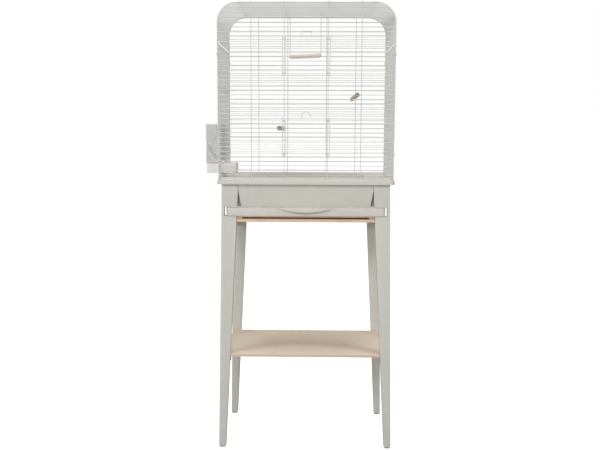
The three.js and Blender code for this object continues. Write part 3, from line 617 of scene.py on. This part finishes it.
FRAME_PLANE = ROW_PLANE + CAD_WIRE - FRAME_SINK
UPRIGHT_PLANE = ROW_PLANE + (ROW_WIRE + UPRIGHT_WIRE) / 2 - UPRIGHT_SINK
FRONT_GUIDE = CENTRE_Y - middle(span("upper_front_door", 1))


def row_height(row):
    return FIRST_ROW + ROW_PITCH * row


def row_reach(z):
    """Half the length of a row, which ends on the frame wire."""
    over = max(z - (FRAME_TOP - CORNER_RADIUS), 0.0)
    straight = HALF_WIDTH - CORNER_RADIUS
    return straight + math.sqrt((CORNER_RADIUS - FRAME_WIRE / 2) ** 2 - over ** 2)


def quarter_bends(steps):
    """The angles of a left bend going up and of a right bend going down, as (hand, angle)."""
    rising = [step / steps * QUARTER for step in range(steps + 1)]
    return [(-1, angle) for angle in rising] + [(1, angle) for angle in reversed(rising)]


def arch(plane_y, margin, foot):
    """The arched outline from its left foot to its right foot, as points in one plane."""
    radius = CORNER_RADIUS - margin
    straight = HALF_WIDTH - CORNER_RADIUS
    top = FRAME_TOP - CORNER_RADIUS
    points = [Vector((CENTRE_X - HALF_WIDTH + margin, plane_y, foot))]
    for hand, angle in quarter_bends(CORNER_STEPS):
        x = CENTRE_X + hand * (straight + radius * math.cos(angle))
        points.append(Vector((x, plane_y, top + radius * math.sin(angle))))
    points.append(Vector((CENTRE_X + HALF_WIDTH - margin, plane_y, foot)))
    return points


def runs(rows):
    """Groups row numbers into (first, count) blocks of neighbours."""
    blocks = []
    for row in sorted(rows):
        if blocks and row == sum(blocks[-1]):
            blocks[-1] = (blocks[-1][0], blocks[-1][1] + 1)
        else:
            blocks.append((row, 1))
    return blocks


def end_panel(outward, doorways, uprights):
    """The front or back of the cage: frame, rows, uprights and a bead on each crossing."""
    row_y = CENTRE_Y + outward * ROW_PLANE
    frame_y = CENTRE_Y + outward * FRAME_PLANE
    upright_y = CENTRE_Y + outward * UPRIGHT_PLANE
    outline = arch(frame_y, FRAME_WIRE / 2, FOOT + CAD_WIRE / 2)
    parts = [wires([outline], FRAME_WIRE), wires([[outline[0], outline[-1]]], FRAME_WIRE)]
    beads = []

    def add_rows(start, end, first, count=1):
        z = row_height(first)
        path = [Vector((CENTRE_X + u, row_y, z)) for u in (start, end)]
        parts.append(wires([path], ROW_WIRE, count, (0, 0, ROW_PITCH)))

    def add_upright(u, low, high, diameter, rows):
        path = [Vector((CENTRE_X + u, upright_y, z)) for z in (low, high)]
        parts.append(wires([path], diameter))
        weld_y = (row_y + upright_y) / 2
        beads.extend(Vector((CENTRE_X + u, weld_y, row_height(row))) for row in rows)

    rows = range(ROW_COUNT)
    cut_rows = [row for low in doorways for row in range(low + 1, low + DOOR_ROWS)]
    straight_rows = [row for row in rows if row_height(row) <= FRAME_TOP - CORNER_RADIUS]
    reach = row_reach(FOOT)
    for first, count in runs([row for row in straight_rows if row not in cut_rows]):
        add_rows(-reach, reach, first, count)
    for first, count in runs(cut_rows):
        for hand in HANDS:
            add_rows(hand * DOORWAY_HALF, hand * reach, first, count)
    for row in range(len(straight_rows), ROW_COUNT):
        end = row_reach(row_height(row))
        add_rows(-end, end, row)
    for row in rows:
        z = row_height(row)
        for hand in HANDS:
            beads.append(Vector((CENTRE_X + hand * row_reach(z), (row_y + frame_y) / 2, z)))
    for u in uprights:
        add_upright(u, FOOT + CAD_WIRE / 4, TIP - TIP_INSET, UPRIGHT_WIRE, rows)
    for low in doorways:
        foot = row_height(low) - 2 * ROW_WIRE
        head = row_height(low + DOOR_ROWS) + 2 * ROW_WIRE
        for hand in HANDS:
            sill_to_lintel = range(low, low + DOOR_ROWS + 1)
            add_upright(hand * DOORWAY_HALF, foot, head, ROW_WIRE, sill_to_lintel)
    parts.append(welds(beads))
    return parts


def front_place(u, plane, z):
    """A point in an upright plane that far in front of the cage's middle."""
    return Vector((CENTRE_X + u, CENTRE_Y - plane, z))


def guide_wires():
    """Two wires that stand off the front and bend back to its frame near both ends."""
    paths = []
    ends = (FOOT + CAD_WIRE - ROW_WIRE, TIP - TIP_INSET)
    for hand in HANDS:
        u = hand * GUIDE_X
        paths.append([front_place(u, FRONT_GUIDE, z) for z in ends])
        for z in (FOOT + CAD_WIRE, FRAME_TOP - ROW_WIRE / 2):
            paths.append([front_place(u, plane, z) for plane in (FRAME_PLANE, FRONT_GUIDE)])
    return wires(paths, DOOR_WIRE, sides=FINE_SIDES)


front = end_panel(-1, (LOWER_DOOR_ROW, UPPER_DOOR_ROW), (-OUTER_UPRIGHT, OUTER_UPRIGHT))
wire_piece("front_panel_wires", front + [guide_wires()], ROOT, "front_grille")
back = end_panel(1, (), (-OUTER_UPRIGHT, -GUIDE_X, GUIDE_X, OUTER_UPRIGHT))
wire_piece("back_panel_wires", back, ROOT, "back_grille")

SIDE_FRONT, SIDE_BACK = span("left_grille", 1)
SIDE_FIRST = SIDE_FRONT + CAD_WIRE / 2
SIDE_LAST = SIDE_BACK - CAD_WIRE / 2
SIDE_BARS = round((SIDE_LAST - SIDE_FIRST) / ROW_PITCH) + 1
SIDE_TOP = span("left_grille", 2)[1]
SIDE_PLANE = HALF_WIDTH - CAD_WIRE / 2
CROSS_PLANE = SIDE_PLANE + (ROW_WIRE + UPRIGHT_WIRE) / 2 - TIE_SINK
CROSS_RISES = (34 * MM, 134 * MM, 233 * MM)
FLANGE_GAP = 0.3 * MM
FLANGE_TOP = FOOT - FLANGE_GAP


def side_panel(hand, opening=None):
    """A side of the cage. An opening is (first bar, last bar, low, high), bars from the middle."""
    x = CENTRE_X + hand * SIDE_PLANE
    cross_x = CENTRE_X + hand * CROSS_PLANE
    foot = FOOT + CAD_WIRE / 2
    top = SIDE_TOP - CAD_WIRE / 2
    bars = range(SIDE_BARS)
    columns = [(foot, top, bars)]
    lengths = [(SIDE_FIRST, SIDE_LAST)]
    crossings = [(z, lengths) for z in (foot, top)]
    mouth = mouth_heights = ()
    if opening:
        first, last, low, high = opening
        cut = [i + SIDE_BARS // 2 for i in range(first + 1, last)]
        whole = [i for i in bars if i not in cut]
        columns = [(foot, top, whole), (foot, low, cut), (high, top, cut)]
        mouth = [CENTRE_Y + i * ROW_PITCH for i in (first, last)]
        crossings += [(z, [mouth]) for z in (low, high)]
        mouth_heights = (low - ROW_WIRE, high + ROW_WIRE)
    for rise in CROSS_RISES:
        z = FLANGE_TOP + rise
        broken = mouth_heights and mouth_heights[0] < z < mouth_heights[1]
        halves = [(SIDE_FIRST, mouth[0]), (mouth[1], SIDE_LAST)] if broken else lengths
        crossings.append((z, halves))
    parts = []
    beads = []
    for start_z, end_z, column in columns:
        for bar, count in runs(column):
            path = [Vector((x, SIDE_FIRST + bar * ROW_PITCH, z)) for z in (start_z, end_z)]
            parts.append(wires([path], ROW_WIRE, count, (0, ROW_PITCH, 0)))
    for z, reaches in crossings:
        for start, end in reaches:
            parts.append(wires([[Vector((cross_x, y, z)) for y in (start, end)]], UPRIGHT_WIRE))
            count = round((end - start) / ROW_PITCH) + 1
            weld_x = (x + cross_x) / 2
            beads.extend(Vector((weld_x, start + i * ROW_PITCH, z)) for i in range(count))
    parts.append(welds(beads))
    return parts


TROUGH_PLAY = 3 * MM
FEEDER_BARS = (-7, 0)
feeder_high = span("feeder_trough", 2)[1] + TROUGH_PLAY + CAD_WIRE / 2
feeder_mouth = (*FEEDER_BARS, row_height(0), feeder_high)
wire_piece("left_panel_wires", side_panel(-1, feeder_mouth), ROOT, "left_grille")
wire_piece("right_panel_wires", side_panel(1), ROOT, "right_grille")

ARCH_FOOT = span("top_grille", 2)[0]
TOP_TIE = 56 * MM


def top_panel():
    """The rounded roof: a row of arches tied by wires that run front to back."""
    outline = arch(SIDE_FIRST, CAD_WIRE / 2, ARCH_FOOT + CAD_WIRE / 4)
    parts = [wires([outline], ROW_WIRE, SIDE_BARS, (0, ROW_PITCH, 0))]
    beads = []
    bars = [SIDE_FIRST + i * ROW_PITCH for i in range(SIDE_BARS)]
    foot = ARCH_FOOT + CAD_WIRE / 2
    tie_z = FRAME_TOP - CAD_WIRE / 2 + (ROW_WIRE + UPRIGHT_WIRE) / 2 - TIE_SINK
    ties = (TOP_TIE, HALF_WIDTH - CORNER_RADIUS)
    lines = [(CENTRE_X + hand * CROSS_PLANE, foot) for hand in HANDS]
    lines += [(CENTRE_X + hand * x, tie_z) for hand in HANDS for x in ties]
    for x, z in lines:
        parts.append(wires([[Vector((x, y, z)) for y in (SIDE_FIRST, SIDE_LAST)]], UPRIGHT_WIRE))
        beads.extend(Vector((x, y, z)) for y in bars)
    parts.append(welds(beads, THICK_BEAD_RADIUS))
    return parts


wire_piece("roof_wires", top_panel(), ROOT, "top_grille")

# ------------------------------------------------------------------ sliding doors

EYELET_RADIUS = 1.75 * MM
EYELET_TURNS = 3
EYELET_STEPS = 12
COIL_WIRE = DOOR_WIRE * 0.8
STILE_GAP = DOOR_WIRE * 0.6
LOOP_STEPS = 6
FLAT_PULL = (11.8 * MM, 11.0 * MM, 12.6 * MM, 2 * MM)
ROUND_PULL = (11.6 * MM, 10.6 * MM, 15.6 * MM, 7 * MM)


def eyelet(u, z):
    """The door wire's end, coiled round its guide."""
    points = []
    total = EYELET_TURNS * EYELET_STEPS
    for step in range(total + 1):
        angle = 2 * math.pi * step / EYELET_STEPS
        rise = (step / total - 0.5) * EYELET_TURNS * COIL_WIRE
        plane = FRONT_GUIDE + EYELET_RADIUS * math.sin(angle)
        points.append(front_place(u + EYELET_RADIUS * math.cos(angle), plane, z + rise))
    return points


def pull_loop(foot, size):
    """The finger loop on a door's top wire. size is (half foot, half top, height, bend)."""
    half_foot, half_top, height, bend = size
    points = [front_place(-half_foot, FRONT_GUIDE, foot)]
    for hand, angle in quarter_bends(LOOP_STEPS):
        u = hand * (half_top - bend + bend * math.cos(angle))
        z = foot + height - bend + bend * math.sin(angle)
        points.append(front_place(u, FRONT_GUIDE, z))
    points.append(front_place(half_foot, FRONT_GUIDE, foot))
    return points


def door_piece(name, cad_node, body, pull):
    """A sliding door: rows between two stiles, an eyelet near each corner and a finger loop."""
    low = span(cad_node, 2)[0] + CAD_WIRE / 2
    high = low + DOOR_ROWS * ROW_PITCH
    stile = GUIDE_X - EYELET_RADIUS - STILE_GAP
    row = [front_place(hand * stile, FRONT_GUIDE, low) for hand in HANDS]
    stiles = [[front_place(hand * stile, FRONT_GUIDE, z) for z in (low, high)] for hand in HANDS]
    ring_heights = (low + ROW_PITCH / 2, high - ROW_PITCH / 2)
    rings = [eyelet(hand * GUIDE_X, z) for z in ring_heights for hand in HANDS]
    beads = [front_place(hand * stile, FRONT_GUIDE, low + i * ROW_PITCH)
             for hand in HANDS for i in range(DOOR_ROWS + 1)]
    wire_piece(name, [
        wires([row], DOOR_WIRE, DOOR_ROWS + 1, (0, 0, ROW_PITCH)),
        wires(stiles, UPRIGHT_WIRE),
        wires(rings, COIL_WIRE, sides=FINE_SIDES),
        wires([pull_loop(high, pull)], DOOR_WIRE),
        welds(beads, THICK_BEAD_RADIUS),
    ], body, cad_node)


door_piece("upper_door_wires", "upper_front_door", "upper_door", FLAT_PULL)
door_piece("lower_door_wires", "lower_front_door", "lower_door", ROUND_PULL)

# ------------------------------------------------------------------ perches and swing

SLOT_HEIGHT = 2.6 * MM
PERCH_SLOT = 5.3 * MM
SWING_SLOT = 3.1 * MM
DOWEL_SIDES = 40
DOWEL_ROUNDING = 0.5 * MM


def slotted_dowel(name, radius, length, slot_depth):
    """A dowel along Y on the origin, its ends rounded over and slotted."""
    shape = bmesh.new()
    bmesh.ops.create_cone(shape, cap_ends=True, segments=DOWEL_SIDES, radius1=radius,
                          radius2=radius, depth=length, matrix=Matrix.Rotation(QUARTER, 4, "X"))
    slots = bmesh.new()
    for hand in HANDS:
        place = Matrix.Translation((0, hand * (length / 2), 0))
        size = Matrix.Diagonal((radius * 3, slot_depth * 2, SLOT_HEIGHT, 1))
        bmesh.ops.create_cube(slots, size=1.0, matrix=place @ size)
    cutter = placed("slots", mesh_from(slots, "slots"))
    cutting = {"object": cutter, "operation": "DIFFERENCE", "solver": "EXACT"}
    cut = modified(mesh_from(shape, name), ("BOOLEAN", cutting), bevel(DOWEL_ROUNDING))
    bpy.data.objects.remove(cutter)
    return cut


def perch(cad_node):
    low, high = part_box(cad_node)
    name = cad_node + "_dowel"
    data = slotted_dowel(name, (high.x - low.x) / 2, high.y - low.y, PERCH_SLOT)
    data.transform(Matrix.Translation((low + high) / 2))
    finish_piece(name, data, ROOT, perch_wood, [cad_node])


perch("perch_left")
perch("perch_right")

SWING_AXIS = Vector(next(j["pos_m"] for j in frame["joints"] if j["name"] == "swing_hinge"))
SWING_WIDTH = 80 * MM
SWING_RISE = 4 * MM
SWING_LEAN = math.atan2(SWING_RISE, SWING_WIDTH)
SWING_PERCH_RADIUS = 4.8 * MM
SWING_OVERHANG = 1.6 * MM
SWING_LENGTH = SWING_WIDTH + CAD_WIRE + SWING_OVERHANG
swing_low, swing_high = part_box("swing_perch")
SWING_SEAT = (swing_low + swing_high) / 2
HOOK_RADIUS = 2.3 * MM
HOOK_STEPS = 8
HOOK_START = -35
HOOK_TURN = 215
HOOK_SHANK = ((-HOOK_RADIUS, -3 * MM), (-HOOK_RADIUS * 0.4, -6 * MM), (0.0, -8.5 * MM))
SEAT_DROP = SWING_PERCH_RADIUS + 1.3 * MM
SEAT_BEND = 4 * MM
BEND_SHARE = 0.3


def swing_side(hand):
    """Half of the swing's wire: a hook over the arch, down, and in under the perch."""
    half = SWING_WIDTH / 2
    x = SWING_AXIS.x + hand * half
    angles = [math.radians(HOOK_START + i * HOOK_TURN / HOOK_STEPS) for i in range(HOOK_STEPS + 1)]
    hook = [(HOOK_RADIUS * math.cos(angle), HOOK_RADIUS * math.sin(angle)) for angle in angles]
    points = [Vector((x, SWING_AXIS.y + y, SWING_AXIS.z + z)) for y, z in (*hook, *HOOK_SHANK)]
    seat_z = SWING_SEAT.z + hand * half * math.tan(SWING_LEAN) - SEAT_DROP
    for inward, rise in ((0.0, 1.0), (BEND_SHARE, BEND_SHARE), (1.0, 0.0)):
        place = (x - hand * inward * SEAT_BEND, SWING_AXIS.y, seat_z + rise * SEAT_BEND)
        points.append(Vector(place))
    return points


swing_path = swing_side(-1) + swing_side(1)[::-1]
wire_piece("swing_wire", [wires([swing_path], ROW_WIRE)], "swing", "swing_hanger")

swing_dowel = slotted_dowel("swing_dowel", SWING_PERCH_RADIUS, SWING_LENGTH, SWING_SLOT)
for turn, axis in ((QUARTER, "Y"), (-QUARTER, "Z"), (-SWING_LEAN, "Y")):
    swing_dowel.transform(Matrix.Rotation(turn, 4, axis))
swing_dowel.transform(Matrix.Translation(SWING_SEAT))
finish_piece("swing_dowel", swing_dowel, "swing", swing_wood, ["swing_perch"])

# ------------------------------------------------------------------ moulded pieces

CORNERS = ("front_left", "front_right", "back_left", "back_right")

rounded("base_skirt", 0.7 * MM)
rounded("drawer", 0.9 * MM, body="drawer")
rounded("feeder_trough", 0.6 * MM, trough_plastic)
rounded("feeder_housing", 0.5 * MM)
rounded("feeder_lid", 0.5 * MM, body="feeder_lid")
rounded("feeder_lid_pin", 0.2 * MM)
for corner in CORNERS:
    for level in (1, 2):
        rounded(f"panel_clip_{corner}_{level}", 0.35 * MM, segments=2)

# ------------------------------------------------------------------ stand

for corner in CORNERS:
    rounded(f"leg_{corner}", 0.8 * MM)
    rounded(f"foot_glide_{corner}", 0.6 * MM)
    rounded(f"shelf_bracket_{corner}", 0.3 * MM, segments=2)
for side in ("left", "right"):
    rounded(f"side_rail_{side}", 1.2 * MM)
    rounded(f"drawer_runner_{side}", 0.5 * MM, runner_wood)
rounded("back_rail", 1.2 * MM)
rounded("top_board", 0.6 * MM, board_wood)
rounded("drawer_deck", 0.4 * MM, board_wood)
rounded("lower_shelf", 0.7 * MM, shelf_wood)

# ------------------------------------------------------------------ stage, light and camera

WHITE = (1, 1, 1, 1)
FLOOR_HALF = 60.0
FLOOR_GREY = (0.42, 0.42, 0.42, 1)
FLOOR_GLOW = 0.95
ROOM_LIGHT = 0.33
ROOM_COLOUR = (1.0, 0.965, 0.90, 1)
# Each light's name, place, target, width and power in watts.
LIGHTS = (
    ("key", (-0.4, -3.2, 2.4), (0, 0, 0.5), 0.9, 27),
    ("left_softbox", (-2.6, -2.2, 1.4), (0, 0, 0.7), 1.6, 34),
    ("right_softbox", (2.6, -2.2, 1.4), (0, 0, 0.7), 1.6, 24),
    ("ceiling", (0.0, 0.2, 3.1), (0, 0.1, 0), 2.4, 44),
)
SENSOR_WIDTH = 36.0
LENS = 46.2
EYE = (CENTRE_X + 0.0202, -2.044, 0.819)
AIM = (CENTRE_X - 0.0163, 0.001, 0.567)
EYE_ROLL = math.radians(0.2)


def floor():
    """A pale floor that looks nearly as bright as the room behind it."""
    signs = ((-1, -1), (1, -1), (1, 1), (-1, 1))
    data = mesh_of("pale_floor", [(x * FLOOR_HALF, y * FLOOR_HALF, 0) for x, y in signs],
                   faces=[(0, 1, 2, 3)])
    made, tree, shader = shaded("pale_floor", Base_Color=FLOOR_GREY, Roughness=0.95,
                                Emission_Color=WHITE)
    seen = node(tree, "ShaderNodeLightPath").outputs["Is Camera Ray"]
    glow = maths(tree, "MULTIPLY", seen, FLOOR_GLOW)
    feed(tree, glow, shader.inputs["Emission Strength"])
    data.materials.append(made)
    ground = placed("pale_floor", data)


def facing(place, target):
    return (Vector(target) - Vector(place)).to_track_quat("-Z", "Y")


def area_light(name, place, target, size, power):
    data = bpy.data.lights.new(name, "AREA")
    data.shape = "SQUARE"
    data.size = size
    data.energy = power
    lamp = placed(name, data)
    lamp.location = place
    lamp.rotation_euler = facing(place, target).to_euler()


def daylight():
    """A white room: what the eye sees is brighter than what it lends to the object."""
    world = bpy.data.worlds.new("studio")
    world.use_nodes = True
    tree = world.node_tree
    backdrop = tree.nodes["Background"]
    rays = node(tree, "ShaderNodeLightPath").outputs
    seen = maths(tree, "MAXIMUM", rays["Is Camera Ray"], rays["Is Transmission Ray"])
    feed(tree, blended(tree, seen, ROOM_COLOUR, WHITE), backdrop.inputs["Color"])
    feed(tree, remapped(tree, seen, 0.0, 1.0, ROOM_LIGHT), backdrop.inputs["Strength"])
    bpy.context.scene.world = world
    for light in LIGHTS:
        area_light(*light)


def camera():
    """Stands in front at chest height, aimed at the middle of the object."""
    data = bpy.data.cameras.new("camera")
    data.sensor_width = SENSOR_WIDTH
    data.lens = LENS
    eye = placed("camera", data)
    eye.location = EYE
    look = facing(EYE, AIM).to_matrix().to_4x4()
    eye.rotation_euler = (look @ Matrix.Rotation(EYE_ROLL, 4, "Z")).to_euler()
    bpy.context.scene.camera = eye


floor()
daylight()
camera()
bpy.context.scene.view_settings.view_transform = "Standard"
